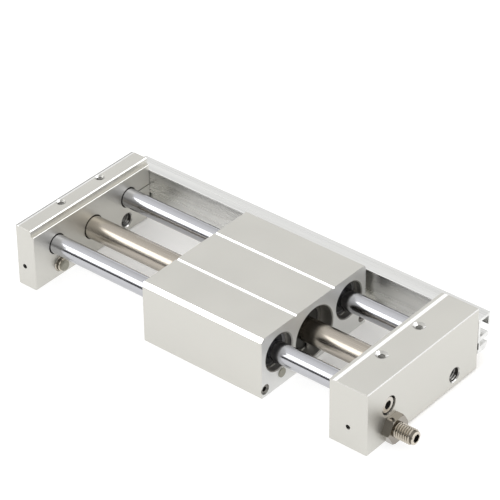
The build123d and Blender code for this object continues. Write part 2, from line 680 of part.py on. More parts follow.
# Slide block
bushing_radius = rod_radius + bushing_wall
magnet_sleeve_radius = outer_magnet_diameter / 2 + magnet_sleeve_wall
stack_half = magnet_count * magnet_length / 2 + (magnet_count + 1) * yoke_length / 2
sleeve_half = stack_half + wear_ring_length + wiper_length + spacer_length
middle_bore_radius = magnet_sleeve_radius + seat_clearance
rod_bore_radius = bushing_radius + seat_clearance
bumper_seat = block_bumper_length - block_bumper_proud

with BuildPart() as slide_block:
    with BuildSketch(Plane.YZ.offset(block_left)):
        with Locations((axis_y, block_height / 2)):
            Rectangle(block_width, block_height)
    extrude(amount=block_length)
    long_edges = slide_block.edges().filter_by(Axis.X)
    chamfer(long_edges.group_by(Axis.Z)[-1], block_top_chamfer)
    chamfer(slide_block.edges().filter_by(Axis.X).group_by(Axis.Z)[0], block_edge_break)
    chamfer(slide_block.edges().filter_by(Axis.Z), block_edge_break)
    # Bores for the bushings and for the magnet coupling
    for bore_y in (near_rod_y, far_rod_y):
        disc_along_x(rod_bore_radius, block_left, block_right, bore_y, rod_height)
        mouth_along_x(rod_bore_radius, block_bore_chamfer, block_left, 1, bore_y, rod_height)
        mouth_along_x(rod_bore_radius, block_bore_chamfer, block_right, -1, bore_y, rod_height)
        for start in (block_left + bushing_inset - circlip_thickness, block_right - bushing_inset):
            disc_along_x(rod_bore_radius + circlip_groove, start, start + circlip_thickness, bore_y, rod_height)
    disc_along_x(middle_bore_radius, block_left, block_right, axis_y, tube_height)
    mouth_along_x(middle_bore_radius, block_bore_chamfer, block_left, 1, axis_y, tube_height)
    mouth_along_x(middle_bore_radius, block_bore_chamfer, block_right, -1, axis_y, tube_height)
    for start in (block_middle - sleeve_half - circlip_thickness, block_middle + sleeve_half):
        disc_along_x(middle_bore_radius + circlip_groove, start, start + circlip_thickness, axis_y, tube_height)
    # Two shallow lines along the top
    for line_y in (axis_y - block_line_spacing / 2, axis_y + block_line_spacing / 2):
        with Locations((block_middle, line_y, block_height - block_line_depth / 2)):
            Box(block_length, block_line_width, block_line_depth, mode=Mode.SUBTRACT)
    # Seats of the rubber stops that the adjust bolts strike
    for start in (block_left, block_right - bumper_seat):
        disc_along_x(block_bumper_diameter / 2, start, start + bumper_seat, near_bolt_y, bolt_height)
    # Holes along the lower corners for the switch magnet
    for hole_y in (axis_y - magnet_hole_spacing / 2, axis_y + magnet_hole_spacing / 2):
        hole_start = block_right - magnet_plug_inset - magnet_plug_length - switch_magnet_length
        disc_along_x(magnet_hole_diameter / 2, hole_start, block_right, hole_y, magnet_hole_height)
    # Threaded holes in the load face
    for hole_x in (block_middle - load_hole_spacing_x / 2, block_middle + load_hole_spacing_x / 2):
        for hole_y in (axis_y - load_hole_spacing_y / 2, axis_y + load_hole_spacing_y / 2):
            disc_along_z(load_hole_diameter / 2, 0, load_hole_depth, hole_x, hole_y)
slide_block.part.label = "slide_block"
export_step(slide_block.part, "parts/slide_block.step")

with BuildPart() as block_bumpers:
    for start in (block_left - block_bumper_proud, block_right - bumper_seat):
        disc_along_x(
            block_bumper_diameter / 2 - seat_clearance, start, start + block_bumper_length, near_bolt_y, bolt_height,
            Mode.ADD,
        )
block_bumpers.part.label = "block_bumpers"
export_step(block_bumpers.part, "parts/block_bumpers.step")

with BuildPart() as switch_magnet:
    magnet_start = block_right - magnet_plug_inset - magnet_plug_length - switch_magnet_length
    disc_along_x(
        magnet_hole_diameter / 2 - seat_clearance, magnet_start, magnet_start + switch_magnet_length,
        axis_y + magnet_hole_spacing / 2, magnet_hole_height, Mode.ADD,
    )
switch_magnet.part.label = "switch_magnet"
export_step(switch_magnet.part, "parts/switch_magnet.step")

with BuildPart() as magnet_plugs:
    plug_mouth = block_right - magnet_plug_inset
    for hole_y in (axis_y - magnet_hole_spacing / 2, axis_y + magnet_hole_spacing / 2):
        disc_along_x(
            magnet_hole_diameter / 2 - seat_clearance, plug_mouth - magnet_plug_length, plug_mouth, hole_y,
            magnet_hole_height, Mode.ADD,
        )
        hex_socket_along_x(magnet_plug_socket, plug_mouth, socket_depth, -1, hole_y, magnet_hole_height)
magnet_plugs.part.label = "magnet_plugs"
export_step(magnet_plugs.part, "parts/magnet_plugs.step")

# Ball bushings: a hardened sleeve, a ball cage, balls and two end seals in each
bushing_starts = (block_left + bushing_inset, block_right - bushing_inset - bushing_length)
cage_outer = bushing_radius - bushing_sleeve_wall
cage_inner = rod_radius + cage_gap
bushing_names = (
    ("bushing_near_left", near_rod_y, bushing_starts[0]),
    ("bushing_near_right", near_rod_y, bushing_starts[1]),
    ("bushing_far_left", far_rod_y, bushing_starts[0]),
    ("bushing_far_right", far_rod_y, bushing_starts[1]),
)
for bushing_name, bushing_y, start in bushing_names:
    with BuildPart() as bushing:
        with BuildSketch(Plane.YZ.offset(start)):
            with Locations((bushing_y, rod_height)):
                Circle(bushing_radius)
                Circle(cage_outer, mode=Mode.SUBTRACT)
        extrude(amount=bushing_length)
    bushing.part.label = bushing_name
    export_step(bushing.part, f"parts/{bushing_name}.step")

with BuildPart() as bushing_cages:
    for bushing_name, bushing_y, start in bushing_names:
        with BuildSketch(Plane.YZ.offset(start + bushing_seal_length)):
            with Locations((bushing_y, rod_height)):
                Circle(cage_outer - seat_clearance)
                Circle(cage_inner, mode=Mode.SUBTRACT)
        extrude(amount=bushing_length - 2 * bushing_seal_length)
bushing_cages.part.label = "bushing_cages"
export_step(bushing_cages.part, "parts/bushing_cages.step")

with BuildPart() as bushing_seals:
    for bushing_name, bushing_y, start in bushing_names:
        for seal_start in (start, start + bushing_length - bushing_seal_length):
            with BuildSketch(Plane.YZ.offset(seal_start)):
                with Locations((bushing_y, rod_height)):
                    Circle(cage_outer - seat_clearance)
                    Circle(rod_radius + running_clearance, mode=Mode.SUBTRACT)
            extrude(amount=bushing_seal_length)
bushing_seals.part.label = "bushing_seals"
export_step(bushing_seals.part, "parts/bushing_seals.step")

# Open retaining rings in the block's bores
with BuildPart() as bushing_circlips:
    for bore_y in (near_rod_y, far_rod_y):
        for start in (block_left + bushing_inset - circlip_thickness, block_right - bushing_inset):
            with BuildSketch(Plane.YZ.offset(start)):
                with Locations((bore_y, rod_height)):
                    Circle(rod_bore_radius + circlip_groove)
                    Circle(rod_bore_radius + circlip_groove - circlip_height, mode=Mode.SUBTRACT)
                with Locations((bore_y, rod_height - rod_bore_radius)):
                    Rectangle(rod_radius, 2 * circlip_height + circlip_groove, mode=Mode.SUBTRACT)
            extrude(amount=circlip_thickness)
bushing_circlips.part.label = "bushing_circlips"
export_step(bushing_circlips.part, "parts/bushing_circlips.step")

with BuildPart() as coupling_circlips:
    for start in (block_middle - sleeve_half - circlip_thickness, block_middle + sleeve_half):
        with BuildSketch(Plane.YZ.offset(start)):
            with Locations((axis_y, tube_height)):
                Circle(middle_bore_radius + circlip_groove)
                Circle(middle_bore_radius + circlip_groove - 2 * circlip_height, mode=Mode.SUBTRACT)
            with Locations((axis_y, tube_height - middle_bore_radius)):
                Rectangle(tube_radius, 4 * circlip_height + circlip_groove, mode=Mode.SUBTRACT)
        extrude(amount=circlip_thickness)
coupling_circlips.part.label = "coupling_circlips"
export_step(coupling_circlips.part, "parts/coupling_circlips.step")

# Outer half of the magnet coupling
outer_magnet_bore = tube_radius + outer_magnet_gap
magnet_pitch = magnet_length + yoke_length
stack_start = block_middle - stack_half

with BuildPart() as magnet_sleeve:
    with BuildSketch(Plane.YZ.offset(block_middle - sleeve_half)):
        with Locations((axis_y, tube_height)):
            Circle(magnet_sleeve_radius)
            Circle(outer_magnet_diameter / 2 + seat_clearance, mode=Mode.SUBTRACT)
    extrude(amount=2 * sleeve_half)
magnet_sleeve.part.label = "magnet_sleeve"
export_step(magnet_sleeve.part, "parts/magnet_sleeve.step")

with BuildPart() as outer_magnets:
    for index in range(magnet_count):
        with BuildSketch(Plane.YZ.offset(stack_start + yoke_length + index * magnet_pitch)):
            with Locations((axis_y, tube_height)):
                Circle(outer_magnet_diameter / 2)
                Circle(outer_magnet_bore, mode=Mode.SUBTRACT)
        extrude(amount=magnet_length)
outer_magnets.part.label = "outer_magnets"
export_step(outer_magnets.part, "parts/outer_magnets.step")

with BuildPart() as outer_yokes:
    for index in range(magnet_count + 1):
        with BuildSketch(Plane.YZ.offset(stack_start + index * magnet_pitch)):
            with Locations((axis_y, tube_height)):
                Circle(outer_magnet_diameter / 2)
                Circle(outer_magnet_bore, mode=Mode.SUBTRACT)
        extrude(amount=yoke_length)
outer_yokes.part.label = "outer_yokes"
export_step(outer_yokes.part, "parts/outer_yokes.step")

with BuildPart() as outer_wear_rings:
    for start in (stack_start - wear_ring_length, block_middle + stack_half):
        with BuildSketch(Plane.YZ.offset(start)):
            with Locations((axis_y, tube_height)):
                Circle(outer_magnet_diameter / 2)
                Circle(tube_radius + running_clearance, mode=Mode.SUBTRACT)
        extrude(amount=wear_ring_length)
outer_wear_rings.part.label = "outer_wear_rings"
export_step(outer_wear_rings.part, "parts/outer_wear_rings.step")

with BuildPart() as tube_wipers:
    for start in (stack_start - wear_ring_length - wiper_length, block_middle + stack_half + wear_ring_length):
        with BuildSketch(Plane.YZ.offset(start)):
            with Locations((axis_y, tube_height)):
                Circle(outer_magnet_diameter / 2)
                Circle(tube_radius + running_clearance, mode=Mode.SUBTRACT)
        extrude(amount=wiper_length)
tube_wipers.part.label = "tube_wipers"
export_step(tube_wipers.part, "parts/tube_wipers.step")

with BuildPart() as coupling_spacers:
    for start in (block_middle - sleeve_half, block_middle + sleeve_half - spacer_length):
        with BuildSketch(Plane.YZ.offset(start)):
            with Locations((axis_y, tube_height)):
                Circle(outer_magnet_diameter / 2)
                Circle(outer_magnet_bore, mode=Mode.SUBTRACT)
        extrude(amount=spacer_length)
coupling_spacers.part.label = "coupling_spacers"
export_step(coupling_spacers.part, "parts/coupling_spacers.step")

# Piston inside the tube, with the inner half of the magnet coupling
inner_magnet_radius = tube_bore / 2 - inner_magnet_gap
piston_radius = tube_bore / 2 - 2 * running_clearance
piston_half = stack_half + piston_length
shaft_half = piston_half + piston_nut_length

with BuildPart() as piston_shaft:
    disc_along_x(
        piston_shaft_diameter / 2, block_middle - shaft_half, block_middle + shaft_half, axis_y, tube_height, Mode.ADD
    )
    chamfer(piston_shaft.edges().filter_by(GeomType.CIRCLE), edge_break)
piston_shaft.part.label = "piston_shaft"
export_step(piston_shaft.part, "parts/piston_shaft.step")

with BuildPart() as inner_magnets:
    for index in range(magnet_count):
        with BuildSketch(Plane.YZ.offset(stack_start + yoke_length + index * magnet_pitch)):
            with Locations((axis_y, tube_height)):
                Circle(inner_magnet_radius)
                Circle(piston_shaft_diameter / 2 + seat_clearance, mode=Mode.SUBTRACT)
        extrude(amount=magnet_length)
inner_magnets.part.label = "inner_magnets"
export_step(inner_magnets.part, "parts/inner_magnets.step")

with BuildPart() as inner_yokes:
    for index in range(magnet_count + 1):
        with BuildSketch(Plane.YZ.offset(stack_start + index * magnet_pitch)):
            with Locations((axis_y, tube_height)):
                Circle(inner_magnet_radius)
                Circle(piston_shaft_diameter / 2 + seat_clearance, mode=Mode.SUBTRACT)
        extrude(amount=yoke_length)
inner_yokes.part.label = "inner_yokes"
export_step(inner_yokes.part, "parts/inner_yokes.step")

seal_offset = piston_length - piston_groove_inset - piston_seal_length
for piston_name, base, outward in (
    ("piston_left", block_middle - stack_half, -1),
    ("piston_right", block_middle + stack_half, 1),
):
    with BuildPart() as piston:
        disc_along_x(
            piston_radius, min(base, base + outward * piston_length), max(base, base + outward * piston_length),
            axis_y, tube_height, Mode.ADD,
        )
        # One groove for the lip seal and one for the wear ring
        for offset, width, depth in (
            (seal_offset, piston_seal_length, piston_seal_depth),
            (piston_groove_inset, piston_wear_length, piston_wear_depth),
        ):
            edge_a = base + outward * offset
            edge_b = base + outward * (offset + width)
            with BuildSketch(Plane.YZ.offset(min(edge_a, edge_b))):
                with Locations((axis_y, tube_height)):
                    Circle(piston_radius)
                    Circle(piston_radius - depth, mode=Mode.SUBTRACT)
            extrude(amount=width, mode=Mode.SUBTRACT)
        disc_along_x(
            piston_shaft_diameter / 2 + seat_clearance, min(base, base + outward * piston_length),
            max(base, base + outward * piston_length), axis_y, tube_height,
        )
    piston.part.label = piston_name
    export_step(piston.part, f"parts/{piston_name}.step")

with BuildPart() as piston_seals:
    for start in (
        block_middle - stack_half - seal_offset - piston_seal_length,
        block_middle + stack_half + seal_offset,
    ):
        with BuildSketch(Plane.YZ.offset(start)):
            with Locations((axis_y, tube_height)):
                Circle(tube_bore / 2 - running_clearance)
                Circle(piston_radius - piston_seal_depth, mode=Mode.SUBTRACT)
        extrude(amount=piston_seal_length)
piston_seals.part.label = "piston_seals"
export_step(piston_seals.part, "parts/piston_seals.step")

with BuildPart() as piston_wear_rings:
    for start in (
        block_middle - stack_half - piston_groove_inset - piston_wear_length,
        block_middle + stack_half + piston_groove_inset,
    ):
        with BuildSketch(Plane.YZ.offset(start)):
            with Locations((axis_y, tube_height)):
                Circle(tube_bore / 2 - running_clearance)
                Circle(piston_radius - piston_wear_depth, mode=Mode.SUBTRACT)
        extrude(amount=piston_wear_length)
piston_wear_rings.part.label = "piston_wear_rings"
export_step(piston_wear_rings.part, "parts/piston_wear_rings.step")

with BuildPart() as piston_nuts:
    for start in (block_middle - piston_half - piston_nut_length, block_middle + piston_half):
        with BuildSketch(Plane.YZ.offset(start)):
            with Locations((axis_y, tube_height)):
                RegularPolygon(piston_nut_flats / 2, 6, major_radius=False)
                Circle(piston_shaft_diameter / 2 + seat_clearance, mode=Mode.SUBTRACT)
        extrude(amount=piston_nut_length)
piston_nuts.part.label = "piston_nuts"
export_step(piston_nuts.part, "parts/piston_nuts.step")

with BuildPart() as piston_bumpers:
    for start in (block_middle - piston_half - piston_bumper_length, block_middle + piston_half):
        with BuildSketch(Plane.YZ.offset(start)):
            with Locations((axis_y, tube_height)):
                Circle(piston_bumper_diameter / 2)
                Circle(piston_bumper_bore / 2, mode=Mode.SUBTRACT)
        extrude(amount=piston_bumper_length)
piston_bumpers.part.label = "piston_bumpers"
export_step(piston_bumpers.part, "parts/piston_bumpers.step")
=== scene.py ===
import json
import math

import bpy
from mathutils import Matrix, Vector


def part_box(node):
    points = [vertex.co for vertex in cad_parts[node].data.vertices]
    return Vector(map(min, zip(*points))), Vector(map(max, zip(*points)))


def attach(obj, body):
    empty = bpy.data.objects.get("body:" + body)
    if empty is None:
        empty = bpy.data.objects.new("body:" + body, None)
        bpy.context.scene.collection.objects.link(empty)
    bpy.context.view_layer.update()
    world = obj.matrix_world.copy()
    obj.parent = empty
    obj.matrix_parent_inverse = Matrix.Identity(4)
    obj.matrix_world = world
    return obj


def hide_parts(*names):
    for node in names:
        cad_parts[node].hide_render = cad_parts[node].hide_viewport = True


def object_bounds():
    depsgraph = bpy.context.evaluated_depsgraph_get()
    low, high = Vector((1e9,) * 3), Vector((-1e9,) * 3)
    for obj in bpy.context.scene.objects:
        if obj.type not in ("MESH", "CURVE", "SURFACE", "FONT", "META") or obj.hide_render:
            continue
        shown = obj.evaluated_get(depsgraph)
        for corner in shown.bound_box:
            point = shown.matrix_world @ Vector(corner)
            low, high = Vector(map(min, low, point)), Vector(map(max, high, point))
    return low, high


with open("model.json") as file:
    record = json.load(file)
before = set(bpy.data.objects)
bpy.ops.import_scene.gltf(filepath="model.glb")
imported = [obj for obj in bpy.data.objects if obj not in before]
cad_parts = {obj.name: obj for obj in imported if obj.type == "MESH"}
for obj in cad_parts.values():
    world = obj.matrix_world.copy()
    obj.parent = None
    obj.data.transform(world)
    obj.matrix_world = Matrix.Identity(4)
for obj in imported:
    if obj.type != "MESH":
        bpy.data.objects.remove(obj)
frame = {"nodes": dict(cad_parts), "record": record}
cad_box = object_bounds()
nodes = frame["nodes"]


def middle_of(name):
    """Middle of a node in Y and Z."""
    low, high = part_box(name)
    return (low.y + high.y) / 2, (low.z + high.z) / 2


def half_height(name):
    """Half the height of a node, which is the radius of a round one that lies along X."""
    low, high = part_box(name)
    return (high.z - low.z) / 2


# Places taken from the frame

rail_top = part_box("sensor_rail")[1].z
block_low, block_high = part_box("slide_block")
left_low, left_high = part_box("end_plate_left")
right_low, right_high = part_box("end_plate_right")
block_middle = (block_low.x + block_high.x) / 2
block_axis = (block_low.y + block_high.y) / 2
axis_y = middle_of("cylinder_tube")[0]
bolt_y, bolt_z = middle_of("adjust_bolt_right")
spare_hole = (2 * axis_y - bolt_y, bolt_z)


# Shader nodes


def join(tree, source, target):
    """Links an output to an input."""
    tree.links.new(source, target)


def feed(tree, target, value):
    """Links an output to an input, or sets a plain number on it."""
    if isinstance(value, bpy.types.NodeSocket):
        join(tree, value, target)
    else:
        target.default_value = value


def calculate(tree, operation, *values, clamp=False):
    """Result of a Math node on outputs and plain numbers."""
    node = tree.nodes.new("ShaderNodeMath")
    node.operation = operation
    node.use_clamp = clamp
    for target, value in zip(node.inputs, values):
        feed(tree, target, value)
    return node.outputs[0]


def fold(tree, operation, values):
    """Result of one operation over several outputs: MAXIMUM for any of them, MULTIPLY for all of them."""
    total = values[0]
    for value in values[1:]:
        total = calculate(tree, operation, total, value)
    return total


def axes_of(tree, node_type, output):
    """X, Y and Z of a place or a normal."""
    source = tree.nodes.new(node_type)
    split = tree.nodes.new("ShaderNodeSeparateXYZ")
    join(tree, source.outputs[output], split.inputs[0])
    return split.outputs


# Shared surface effects, which give values that change over the surface

LEAST_RISE = 0.15
NOISE_LOW = 0.3
NOISE_HIGH = 0.7
LEAST_ROUGHNESS = 0.02
FULL_GLOW_RADIUS = 0.5


def new_group(name, inputs, outputs):
    """An empty shader group with named number sockets, its given values and its results."""
    group = bpy.data.node_groups.new(name, "ShaderNodeTree")
    for label, value in inputs.items():
        socket = group.interface.new_socket(name=label, in_out="INPUT", socket_type="NodeSocketFloat")
        socket.default_value = value
    for label in outputs:
        group.interface.new_socket(name=label, in_out="OUTPUT", socket_type="NodeSocketFloat")
    given = group.nodes.new("NodeGroupInput").outputs
    result = group.nodes.new("NodeGroupOutput").inputs
    return group, given, result


def build_fine_grain():
    """Bead-blasted and anodised metal: a fine, even grain and a slow change in tone."""
    group, given, result = new_group(
        "fine_grain", {"Grain size": 0.0004, "Patch size": 0.02}, ["Grain", "Patches"]
    )
    place = group.nodes.new("ShaderNodeTexCoord")
    for label, size, detail in (("Grain", "Grain size", 3.0), ("Patches", "Patch size", 2.0)):
        noise = group.nodes.new("ShaderNodeTexNoise")
        noise.inputs["Detail"].default_value = detail
        noise.inputs["Roughness"].default_value = 0.55
        join(group, place.outputs["Object"], noise.inputs["Vector"])
        join(group, calculate(group, "DIVIDE", 1.0, given[size]), noise.inputs["Scale"])
        join(group, noise.outputs["Fac"], result[label])
    return group


def build_drawn_lines():
    """Long fine lines along X, as drawing and brushing leave them, and wider streaks."""
    group, given, result = new_group(
        "drawn_lines", {"Line width": 0.0003, "Line length": 0.03}, ["Lines", "Streaks"]
    )
    place = axes_of(group, "ShaderNodeTexCoord", "Object")
    for label, coarseness, detail in (("Lines", 1.0, 4.0), ("Streaks", 5.0, 2.0)):
        packed = group.nodes.new("ShaderNodeCombineXYZ")
        for axis, size in (("X", "Line length"), ("Y", "Line width"), ("Z", "Line width")):
            step = calculate(group, "MULTIPLY", given[size], coarseness)
            join(group, calculate(group, "DIVIDE", place[axis], step), packed.inputs[axis])
        noise = group.nodes.new("ShaderNodeTexNoise")
        noise.inputs["Scale"].default_value = 1.0
        noise.inputs["Detail"].default_value = detail
        join(group, packed.outputs[0], noise.inputs["Vector"])
        join(group, noise.outputs["Fac"], result[label])
    return group


# The bevels this mask picks get the painted highlight in the anodised finishes; with a side limit, the
# side-facing ones get painted shade.
def build_cut_faces():
    """1 on tilted faces that look partly up or down, such as bevels and countersinks, and 0 elsewhere.
    Side limit leaves out the faces that look more than this to the side."""
    group, given, result = new_group("cut_faces", {"Tilt": 0.985, "Side limit": 1.0}, ["Cut"])
    normal = axes_of(group, "ShaderNodeNewGeometry", "True Normal")
    sizes = [calculate(group, "ABSOLUTE", normal[axis]) for axis in "XYZ"]
    tilted = calculate(group, "LESS_THAN", fold(group, "MAXIMUM", sizes), given["Tilt"])
    upward = calculate(group, "GREATER_THAN", sizes[2], LEAST_RISE)
    across = calculate(group, "LESS_THAN", sizes[1], given["Side limit"])
    join(group, fold(group, "MULTIPLY", [tilted, upward, across]), result["Cut"])
    return group


def build_round_bore():
    """1 inside a radius round a line along X and nearer to the middle than the reach, and 0 elsewhere."""
    group, given, result = new_group(
        "round_bore", {"Centre Y": 0.0, "Centre Z": 0.0, "Radius": 0.01, "Reach": 1.0}, ["Inside"]
    )
    place = axes_of(group, "ShaderNodeTexCoord", "Object")
    offsets = group.nodes.new("ShaderNodeCombineXYZ")
    for axis in "YZ":
        join(group, calculate(group, "SUBTRACT", place[axis], given["Centre " + axis]), offsets.inputs[axis])
    radius = group.nodes.new("ShaderNodeVectorMath")
    radius.operation = "LENGTH"
    join(group, offsets.outputs[0], radius.inputs[0])
    inside = calculate(group, "LESS_THAN", radius.outputs["Value"], given["Radius"])
    near = calculate(group, "LESS_THAN", calculate(group, "ABSOLUTE", place["X"]), given["Reach"])
    join(group, fold(group, "MULTIPLY", [inside, near]), result["Inside"])
    return group


def build_end_faces():
    """1 on faces square to X, and 0 elsewhere. Square is how nearly square they have to be."""
    group, given, result = new_group("end_faces", {"Square": 0.98}, ["End"])
    normal = axes_of(group, "ShaderNodeNewGeometry", "True Normal")
    along = calculate(group, "ABSOLUTE", normal["X"])
    join(group, calculate(group, "GREATER_THAN", along, given["Square"]), result["End"])
    return group


def build_cut_line(name, axis):
    """1 in a narrow band at one X or Y, above a height, and 0 elsewhere."""
    group, given, result = new_group(name, {"Line " + axis: 0.0, "Half width": 0.001, "Above": 0.0}, ["Line"])
    place = axes_of(group, "ShaderNodeTexCoord", "Object")
    near = calculate(group, "COMPARE", place[axis], given["Line " + axis], given["Half width"])
    high = calculate(group, "GREATER_THAN", place["Z"], given["Above"])
    join(group, fold(group, "MULTIPLY", [near, high]), result["Line"])
    return group


# The zones place the floor's painted glow, which stands in for light round the part.
def build_floor_zones():
    """Open is 1 round the part and 0 in the frame's opening. Near fades from 1 to 0 far from the part."""
    group, given, result = new_group(
        "floor_zones",
        {"Half length": 0.108, "Front": -0.0165, "Back": 0.062, "Soft edge": 0.003, "Reach": 1.2},
        ["Open", "Near"],
    )
    place = group.nodes.new("ShaderNodeTexCoord")
    split = group.nodes.new("ShaderNodeSeparateXYZ")
    join(group, place.outputs["Object"], split.inputs[0])
    length = calculate(group, "ABSOLUTE", split.outputs["X"])
    zones = []
    for outer, inner in (
        (length, given["Half length"]),
        (given["Front"], split.outputs["Y"]),
        (split.outputs["Y"], given["Back"]),
    ):
        past = calculate(group, "SUBTRACT", outer, inner)
        share = calculate(group, "DIVIDE", past, given["Soft edge"])
        zones.append(calculate(group, "ADD", share, 0.5, clamp=True))
    join(group, fold(group, "MAXIMUM", zones), result["Open"])
    distance = group.nodes.new("ShaderNodeVectorMath")
    distance.operation = "LENGTH"
    join(group, place.outputs["Object"], distance.inputs[0])
    fade = group.nodes.new("ShaderNodeMapRange")
    fade.interpolation_type = "SMOOTHSTEP"
    fade.inputs["From Min"].default_value = FULL_GLOW_RADIUS
    fade.inputs["To Min"].default_value = 1.0
    fade.inputs["To Max"].default_value = 0.0
    join(group, distance.outputs["Value"], fade.inputs["Value"])
    join(group, given["Reach"], fade.inputs["From Max"])
    join(group, fade.outputs[0], result["Near"])
    return group


fine_grain = build_fine_grain()
drawn_lines = build_drawn_lines()
cut_faces = build_cut_faces()
round_bore = build_round_bore()
end_faces = build_end_faces()
long_line = build_cut_line("long_line", "Y")
cross_line = build_cut_line("cross_line", "X")
floor_zones = build_floor_zones()


class Finish:
    """A material with a Principled shader, ready for shared effects."""

    def __init__(self, name, color, metallic, roughness, specular=0.5):
        self.material = bpy.data.materials.new(name)
        self.material.use_nodes = True
        self.tree = self.material.node_tree
        self.shader = self.tree.nodes["Principled BSDF"]
        self.color = color
        self.roughness = roughness
        self.shader.inputs["Base Color"].default_value = (*color, 1.0)
        self.shader.inputs["Metallic"].default_value = metallic
        self.shader.inputs["Roughness"].default_value = roughness
        self.shader.inputs["Specular IOR Level"].default_value = specular

    def effect(self, group, **values):
        """Outputs of a shared effect with this material's own values."""
        node = self.tree.nodes.new("ShaderNodeGroup")
        node.node_tree = group
        for label, value in values.items():
            node.inputs[label.replace("_", " ")].default_value = value
        return node.outputs

    def tone(self, source, spread):
        """Base colour gets lighter and darker with the source, by spread at most."""
        mix = self.tree.nodes.new("ShaderNodeMix")
        mix.data_type = "RGBA"
        mix.inputs["A"].default_value = (*[share * (1 - spread) for share in self.color], 1.0)
        mix.inputs["B"].default_value = (*[min(1.0, share * (1 + spread)) for share in self.color], 1.0)
        join(self.tree, source, mix.inputs["Factor"])
        join(self.tree, mix.outputs["Result"], self.shader.inputs["Base Color"])

    def shine(self, source, spread):
        """Roughness changes with the source, by spread at most."""
        remap = self.tree.nodes.new("ShaderNodeMapRange")
        remap.inputs["From Min"].default_value = NOISE_LOW
        remap.inputs["From Max"].default_value = NOISE_HIGH
        remap.inputs["To Min"].default_value = max(LEAST_ROUGHNESS, self.roughness - spread)
        remap.inputs["To Max"].default_value = min(1.0, self.roughness + spread)
        join(self.tree, source, remap.inputs["Value"])
        join(self.tree, remap.outputs["Result"], self.shader.inputs["Roughness"])

    def where(self, mask, color=None, roughness=None):
        """Another colour or roughness where the mask is 1."""
        for label, value in (("Base Color", color), ("Roughness", roughness)):
            if value is None:
                continue
            socket = self.shader.inputs[label]
            mix = self.tree.nodes.new("ShaderNodeMix")
            mix.data_type = "RGBA" if label == "Base Color" else "FLOAT"
            if socket.is_linked:
                join(self.tree, socket.links[0].from_socket, mix.inputs["A"])
            else:
                mix.inputs["A"].default_value = socket.default_value
            mix.inputs["B"].default_value = (*value, 1.0) if label == "Base Color" else value
            join(self.tree, mask, mix.inputs["Factor"])
            join(self.tree, mix.outputs["Result"], socket)

    def relief(self, source, height, strength):
        """Small real relief, height in metres."""
        bump = self.tree.nodes.new("ShaderNodeBump")
        bump.inputs["Distance"].default_value = height
        bump.inputs["Strength"].default_value = strength
        join(self.tree, source, bump.inputs["Height"])
        join(self.tree, bump.outputs["Normal"], self.shader.inputs["Normal"])


# Finishes

ALUMINIUM = (0.63, 0.62, 0.58)
ALUMINIUM_ROUGHNESS = 0.42
# Painted highlight on bevels and on narrow lines along edges, standing in for the lamps' glare there.
PAINTED_HIGHLIGHT_COLOR = (0.97, 0.97, 0.96)
CUT_ROUGHNESS = 0.22
# Painted shade on the plates' bevels that face to the side.
SIDE_EDGE_PAINTED_SHADE = (0.40, 0.395, 0.375)
# The block's sawn end faces are rougher, and painted lighter as light falling on them.
SAWN_END_PAINTED_LIGHT = (0.76, 0.76, 0.745)
SAWN_ROUGHNESS = 0.56
# Painted shade inside bores, round the seats of rods and tube, in the spare hole and in screw sockets;
# lighter in the block's bores.
BORE_PAINTED_SHADE = (0.13, 0.125, 0.115)
BLOCK_BORE_PAINTED_SHADE = (0.36, 0.35, 0.33)
BORE_ROUGHNESS = 0.5
BOLT_TIP_COLOR = (0.62, 0.57, 0.49)
BOLT_TIP_ROUGHNESS = 0.24
BLOCK_HIGHLIGHT_WIDTH = 0.0017
RAIL_HIGHLIGHT_WIDTH = 0.0012
PLATE_HIGHLIGHT_WIDTH = 0.00084
HIGHLIGHT_DEPTH = 0.0006
ROD_SCREW_SOCKET = 0.0022
EVERYWHERE = 1.0
TOP_TOLERANCE = 0.0001
METAL = 1.0
NOT_METAL = 0.0

finishes = {}


def anodised(
    name, tilt=0.985, side_limit=1.0, highlight_lines=(), highlight_edges=(), sawn_ends_painted_light=False, bores=(),
    bore_shade=BORE_PAINTED_SHADE,
):
    """Anodised aluminium with a painted highlight on cut edges and lines; with a side limit, the bevels
    facing more to the side get painted shade instead.
    Sawn ends are rougher and painted lighter. Bores, each with its centre, radius and reach, get painted
    shade inside."""
    made = Finish(name, ALUMINIUM, METAL, ALUMINIUM_ROUGHNESS)
    grain = made.effect(fine_grain, Grain_size=0.00035, Patch_size=0.03)
    made.tone(grain["Patches"], spread=0.04)
    made.shine(grain["Patches"], spread=0.03)
    # Painted shade on every bevel first; the painted highlight below then covers those within the side limit.
    if side_limit < 1.0:
        made.where(made.effect(cut_faces)["Cut"], SIDE_EDGE_PAINTED_SHADE, ALUMINIUM_ROUGHNESS)
    # Painted highlight on the bevels within the side limit and on the given lines.
    highlights = [made.effect(cut_faces, Tilt=tilt, Side_limit=side_limit)["Cut"]]
    for y, above in highlight_lines:
        line = made.effect(long_line, Line_Y=y, Half_width=BLOCK_HIGHLIGHT_WIDTH / 2, Above=above)
        highlights.append(line["Line"])
    for x, above in highlight_edges:
        line = made.effect(cross_line, Line_X=x, Half_width=PLATE_HIGHLIGHT_WIDTH / 2, Above=above)
        highlights.append(line["Line"])
    made.where(fold(made.tree, "MAXIMUM", highlights), PAINTED_HIGHLIGHT_COLOR, CUT_ROUGHNESS)
    # Sawn end faces: rougher, and painted lighter.
    if sawn_ends_painted_light:
        made.where(made.effect(end_faces)["End"], SAWN_END_PAINTED_LIGHT, SAWN_ROUGHNESS)
    # Painted shade inside the bores.
    if bores:
        insides = [
            made.effect(round_bore, Centre_Y=y, Centre_Z=z, Radius=radius, Reach=reach)["Inside"]
            for y, z, radius, reach in bores
        ]
        made.where(fold(made.tree, "MAXIMUM", insides), bore_shade, BORE_ROUGHNESS)
    made.relief(grain["Grain"], height=0.00002, strength=0.3)
    finishes[name] = made.material


